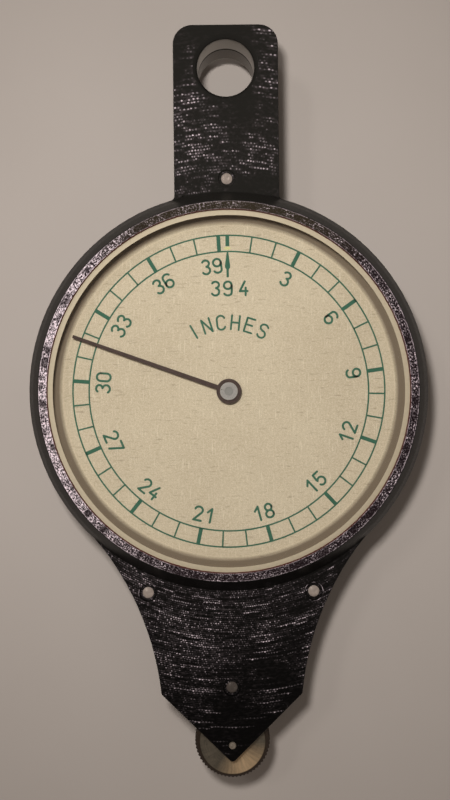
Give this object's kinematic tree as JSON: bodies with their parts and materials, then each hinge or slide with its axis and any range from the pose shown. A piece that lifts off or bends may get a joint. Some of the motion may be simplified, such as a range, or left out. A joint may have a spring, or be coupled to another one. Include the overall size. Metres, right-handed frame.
{
  "type": "curvimeter",
  "caption": "Two-sided pocket map measuring wheel: a round head with two dials, a hang tab and a tapered tail that carries a knurled tracing wheel geared to the hands.",
  "frame": {"origin": "middle of the bounding box at its base: the instrument lies on the land of its rear ring", "axes": "+Z out of the front dial, +Y towards the hang tab, +X to the right seen from the front"},
  "size_m": [0.05, 0.0952, 0.0126],
  "materials": {
    "case_black": "turned and black anodised, satin",
    "dial_cream": "cream enamel, printed dark green",
    "crystal_clear": "clear acrylic",
    "gear_brass": "machined",
    "arbor_steel": "turned",
    "rivet_steel": "plain",
    "hand_brown": "dark brown lacquer",
    "hub_silver": "turned, bright",
    "wheel_brass": "knurled rim, worn and dull"
  },
  "bodies": {
    "case": {"front_case": "case_black", "rear_case": "case_black", "front_dial": "dial_cream", "rear_dial": "dial_cream", "front_crystal": "crystal_clear", "rear_crystal": "crystal_clear", "front_bush": "gear_brass", "rear_bush": "gear_brass", "idler_stud": "arbor_steel", "second_stud": "rivet_steel", "top_rivet": "rivet_steel", "side_rivets": "rivet_steel"},
    "centre": {"centre_arbor": "arbor_steel", "centre_collet": "gear_brass", "centre_wheel": "gear_brass", "front_hand": "hand_brown", "rear_hand": "hand_brown", "front_hand_hub": "hub_silver", "rear_hand_hub": "hub_silver"},
    "idler": {"idler_wheel": "gear_brass", "idler_hub": "gear_brass"},
    "second": {"second_wheel": "gear_brass", "second_pinion": "arbor_steel"},
    "tracing": {"tracing_wheel": "wheel_brass", "tracing_arbor": "arbor_steel"}
  },
  "joints": [
    {"name": "hands_turn", "type": "hinge", "parent": "case", "child": "centre", "pos_m": [0, 0.00163, 0.0063], "axis": [0, 0, 1], "continuous": true},
    {"name": "idler_turn", "type": "hinge", "parent": "case", "child": "idler", "pos_m": [0.00115, -0.0259, 0.0063], "axis": [0, 0, 1], "continuous": true},
    {"name": "second_turn", "type": "hinge", "parent": "case", "child": "second", "pos_m": [0, -0.03557, 0.0063], "axis": [0, 0, 1], "continuous": true},
    {"name": "tracing_turn", "type": "hinge", "parent": "case", "child": "tracing", "pos_m": [0, -0.04285, 0.0063], "axis": [0, 0, 1], "continuous": true}
  ],
  "couplings": [
    {"joint": "idler_turn", "follows": "hands_turn", "ratio": -2.5532},
    {"joint": "second_turn", "follows": "hands_turn", "ratio": 10},
    {"joint": "tracing_turn", "follows": "hands_turn", "ratio": -33.333}
  ]
}
